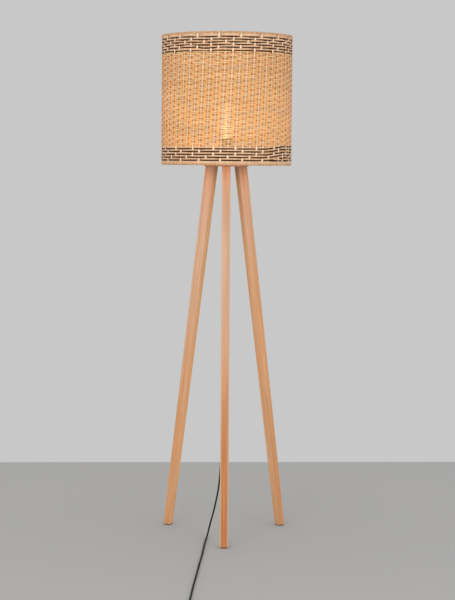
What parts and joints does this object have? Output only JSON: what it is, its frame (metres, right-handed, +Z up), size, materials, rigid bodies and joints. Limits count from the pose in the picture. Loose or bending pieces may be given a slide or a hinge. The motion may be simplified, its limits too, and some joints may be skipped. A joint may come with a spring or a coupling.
{
  "type": "floor lamp",
  "caption": "Floor lamp with a woven cane drum shade on splayed square wooden legs, with a screw-in bulb and a black lead with an in-line switch and plug.",
  "frame": {"origin": "on the floor, in the middle of the lamp's box without its cord: the axis that the shade, the bulb and the disc share stands 8.8 mm behind it", "axes": "+Z up along the lamp's axis, -Y towards the single front leg, +X towards the right-hand leg's side"},
  "size_m": [0.4022, 1.1915, 1.5456],
  "materials": {
    "beech": "clear matt lacquer on pale straight-grained wood",
    "rattan": "woven split cane under clear matt lacquer, with dark bands",
    "binding": "wound cane peel, satin",
    "felt": "dense dark felt",
    "zinc_steel": "bright zinc plate",
    "brass": "plain brass",
    "wire": "pale enamel on steel wire",
    "black_plastic": "moulded black, fine satin",
    "cord_sheath": "smooth black cord sheath",
    "ceramic": "pale glazed insulator",
    "glass": "clear, faintly amber",
    "filament": "glowing wire",
    "cap_metal": "rolled thread, dull bright"
  },
  "bodies": {
    "lamp": {"hub_disc": "beech", "leg_front": "beech", "leg_left": "beech", "leg_right": "beech", "leg_bolt_front": "zinc_steel", "leg_bolt_left": "zinc_steel", "leg_bolt_right": "zinc_steel", "leg_insert_front": "brass", "leg_insert_left": "brass", "leg_insert_right": "brass", "leg_dowel_front": "beech", "leg_dowel_left": "beech", "leg_dowel_right": "beech", "foot_pad_front": "felt", "foot_pad_left": "felt", "foot_pad_right": "felt", "threaded_nipple": "zinc_steel", "nipple_washer": "zinc_steel", "nipple_nut": "zinc_steel", "cord_grip": "black_plastic", "cord_inner": "cord_sheath", "holder_cap": "black_plastic", "holder_shell": "black_plastic", "holder_core": "ceramic", "terminal_screw_live": "brass", "terminal_screw_neutral": "brass", "screw_shell": "brass", "centre_contact": "brass", "ring_nut_lower": "black_plastic", "ring_nut_upper": "black_plastic", "woven_wall": "rattan", "rim_wire_bottom": "wire", "rim_wire_top": "wire", "rim_binding_bottom": "binding", "rim_binding_top": "binding", "fitter_ring": "wire", "spoke_back": "wire", "spoke_left": "wire", "spoke_right": "wire", "cord_run": "cord_sheath", "cord_link": "cord_sheath", "cord_coil": "cord_sheath", "cord_tail": "cord_sheath", "coil_tie": "black_plastic", "switch_base": "black_plastic", "switch_cover": "black_plastic", "switch_contact": "brass", "switch_relief_in": "black_plastic", "switch_relief_out": "black_plastic", "plug_body": "black_plastic", "plug_pin_left": "brass", "plug_pin_right": "brass"},
    "bulb": {"bulb_glass": "glass", "bulb_stem": "glass", "bulb_filament": "filament", "bulb_cap": "cap_metal", "bulb_insulator": "black_plastic", "bulb_contact": "cap_metal"},
    "rocker": {"switch_rocker": "black_plastic"}
  },
  "joints": [
    {"name": "bulb_turn", "type": "hinge", "parent": "lamp", "child": "bulb", "pos_m": [0, 0.00877, 1.2043], "axis": [0, 0, 1], "range_deg": [0, 990]},
    {"name": "rocker_press", "type": "hinge", "parent": "lamp", "child": "rocker", "pos_m": [0.035, -0.89624, 0.0144], "axis": [0, 1, 0], "range_deg": [-14, 0]}
  ]
}
